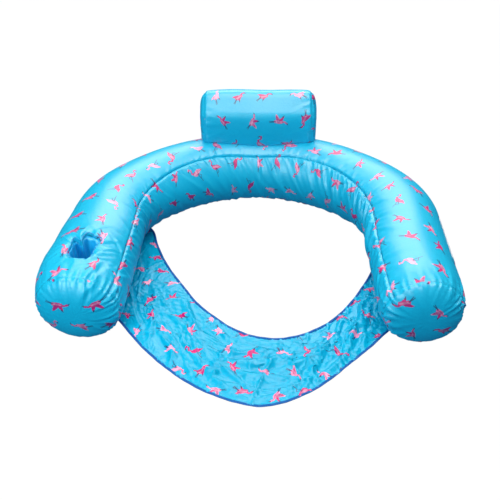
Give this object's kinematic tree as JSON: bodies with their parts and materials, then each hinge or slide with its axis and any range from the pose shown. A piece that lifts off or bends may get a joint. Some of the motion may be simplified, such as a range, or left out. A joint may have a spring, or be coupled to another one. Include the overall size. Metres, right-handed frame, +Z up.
{
  "type": "inflatable pool float",
  "caption": "U-shaped inflatable pool float in a sewn fabric cover, with a headrest pillow, a slack sling seat and a cup pocket in one arm.",
  "frame": {"origin": "on the ground under the centre of the float's box", "axes": "+Z up, +Y towards the headrest, +X towards the arm with the zipper and the patch (the sitter's left), the longest extent"},
  "size_m": [0.9988, 0.9796, 0.345],
  "materials": {
    "cover_fabric": "satin-woven polyester, sewn, small printed pattern",
    "pocket_fabric": "dark plain-woven lining",
    "binding_tape": "dark folded binding tape",
    "bladder_film": "clear flexible vinyl film",
    "zipper_tape": "woven zipper tape",
    "zipper_coil": "nylon coil",
    "zipper_metal": "satin nickel-plated",
    "valve_plastic": "moulded soft vinyl",
    "patch_fabric": "white woven, blank"
  },
  "bodies": {
    "float": {"main_bladder": "bladder_film", "cover_top_panel": "cover_fabric", "cover_inner_panel": "cover_fabric", "cover_bottom_panel": "cover_fabric", "end_panel_left": "cover_fabric", "end_panel_right": "cover_fabric", "cup_pocket": "pocket_fabric", "cup_binding": "binding_tape", "sling_seat": "cover_fabric", "sling_front_binding": "binding_tape", "sling_rear_binding": "binding_tape", "side_patch": "patch_fabric", "zipper_tape_upper": "zipper_tape", "zipper_tape_lower": "zipper_tape", "zipper_teeth": "zipper_coil", "zipper_front_stop": "zipper_metal", "zipper_rear_stop": "zipper_metal", "valve_base": "valve_plastic", "valve_tether": "valve_plastic", "headrest_skirt": "cover_fabric"},
    "headrest": {"headrest_wrap_panel": "cover_fabric", "headrest_end_left": "cover_fabric", "headrest_end_right": "cover_fabric", "headrest_base_panel": "cover_fabric", "headrest_bladder": "bladder_film", "headrest_valve_base": "valve_plastic", "headrest_zipper_tape_upper": "zipper_tape", "headrest_zipper_tape_lower": "zipper_tape", "headrest_zipper_teeth": "zipper_coil", "headrest_zipper_front_stop": "zipper_metal", "headrest_zipper_rear_stop": "zipper_metal"},
    "zipper_slider": {"zipper_slider": "zipper_metal"},
    "zipper_pull": {"zipper_pull_tab": "zipper_metal"},
    "headrest_slider": {"headrest_zipper_slider": "zipper_metal"},
    "headrest_pull": {"headrest_zipper_pull_tab": "zipper_metal"},
    "headrest_plug": {"headrest_valve_plug": "valve_plastic"},
    "valve_ring": {"valve_swivel_ring": "valve_plastic"},
    "valve_cap": {"valve_cap": "valve_plastic"},
    "valve_flap": {"valve_check_flap": "bladder_film"}
  },
  "joints": [
    {"name": "headrest_tilt", "type": "hinge", "parent": "float", "child": "headrest", "pos_m": [0, 0.3926, 0.2035], "axis": [-1, 0, 0], "range_deg": [-5, 12], "stiffness_Nm_per_rad": 4, "deforming": ["headrest_skirt"]},
    {"name": "zipper_slide", "type": "slide", "parent": "float", "child": "zipper_slider", "axis": [0.0014, 1, 0.0097], "range_m": [0, 0.24]},
    {"name": "zipper_pull_swing", "type": "hinge", "parent": "zipper_slider", "child": "zipper_pull", "pos_m": [0.49719, -0.24719, 0.08079], "axis": [-0.1392, 0.0098, -0.9902], "range_deg": [0, 170]},
    {"name": "headrest_zipper_slide", "type": "slide", "parent": "headrest", "child": "headrest_slider", "axis": [-1, 0, 0], "range_m": [0, 0.172]},
    {"name": "headrest_pull_swing", "type": "hinge", "parent": "headrest_slider", "child": "headrest_pull", "pos_m": [0.0868, 0.45475, 0.2335], "axis": [0, 0, -1], "range_deg": [0, 170]},
    {"name": "headrest_plug_swing", "type": "hinge", "parent": "headrest", "child": "headrest_plug", "pos_m": [-0.061, 0.45526, 0.2833], "axis": [0, 0.158, -0.9874], "range_deg": [0, 120]},
    {"name": "valve_cap_lift", "type": "slide", "parent": "float", "child": "valve_ring", "axis": [-0.5433, 0.7487, 0.3799], "range_m": [0, 0.0025]},
    {"name": "valve_cap_turn", "type": "hinge", "parent": "valve_ring", "child": "valve_cap", "pos_m": [-0.30574, 0.38135, 0.13766], "axis": [-0.5433, 0.7487, 0.3799], "range_deg": [0, 360]},
    {"name": "valve_flap_open", "type": "hinge", "parent": "float", "child": "valve_flap", "pos_m": [-0.28649, 0.37525, 0.13089], "axis": [0.2292, -0.303, 0.925], "range_deg": [0, 35], "stiffness_Nm_per_rad": 0.003}
  ],
  "couplings": [
    {"joint": "valve_cap_turn", "follows": "valve_cap_lift", "rad_per_m": 2513.2}
  ]
}
